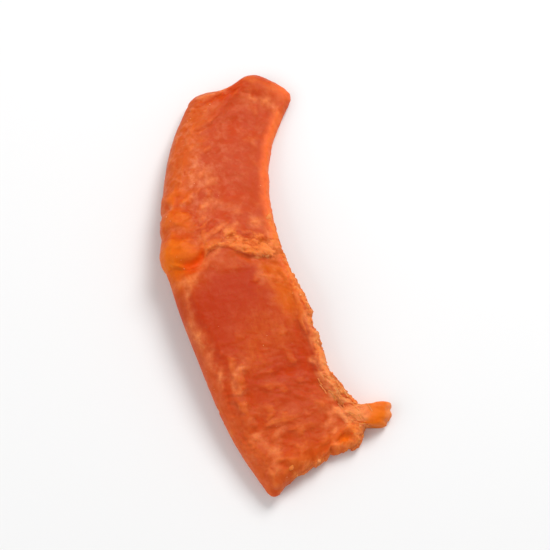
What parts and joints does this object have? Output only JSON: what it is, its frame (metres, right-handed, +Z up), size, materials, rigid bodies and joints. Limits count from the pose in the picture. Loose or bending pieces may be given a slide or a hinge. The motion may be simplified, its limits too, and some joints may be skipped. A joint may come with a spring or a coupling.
{
  "type": "dried papaya spear",
  "caption": "Curved spear of dried, candied papaya: a thick rounded outer edge, a thin ragged inner edge with a torn tab, and a crack across it where it is bent.",
  "frame": {"origin": "on the surface it lies on, under the middle of the spear's bounding box", "axes": "+Y along the spear towards its stem end, +X across it towards the ragged inner edge, +Z up out of the shown cut face"},
  "size_m": [0.0574, 0.1096, 0.0144],
  "materials": {
    "flesh": "satin"
  },
  "bodies": {
    "root": {"spear": "flesh"}
  },
  "joints": []
}
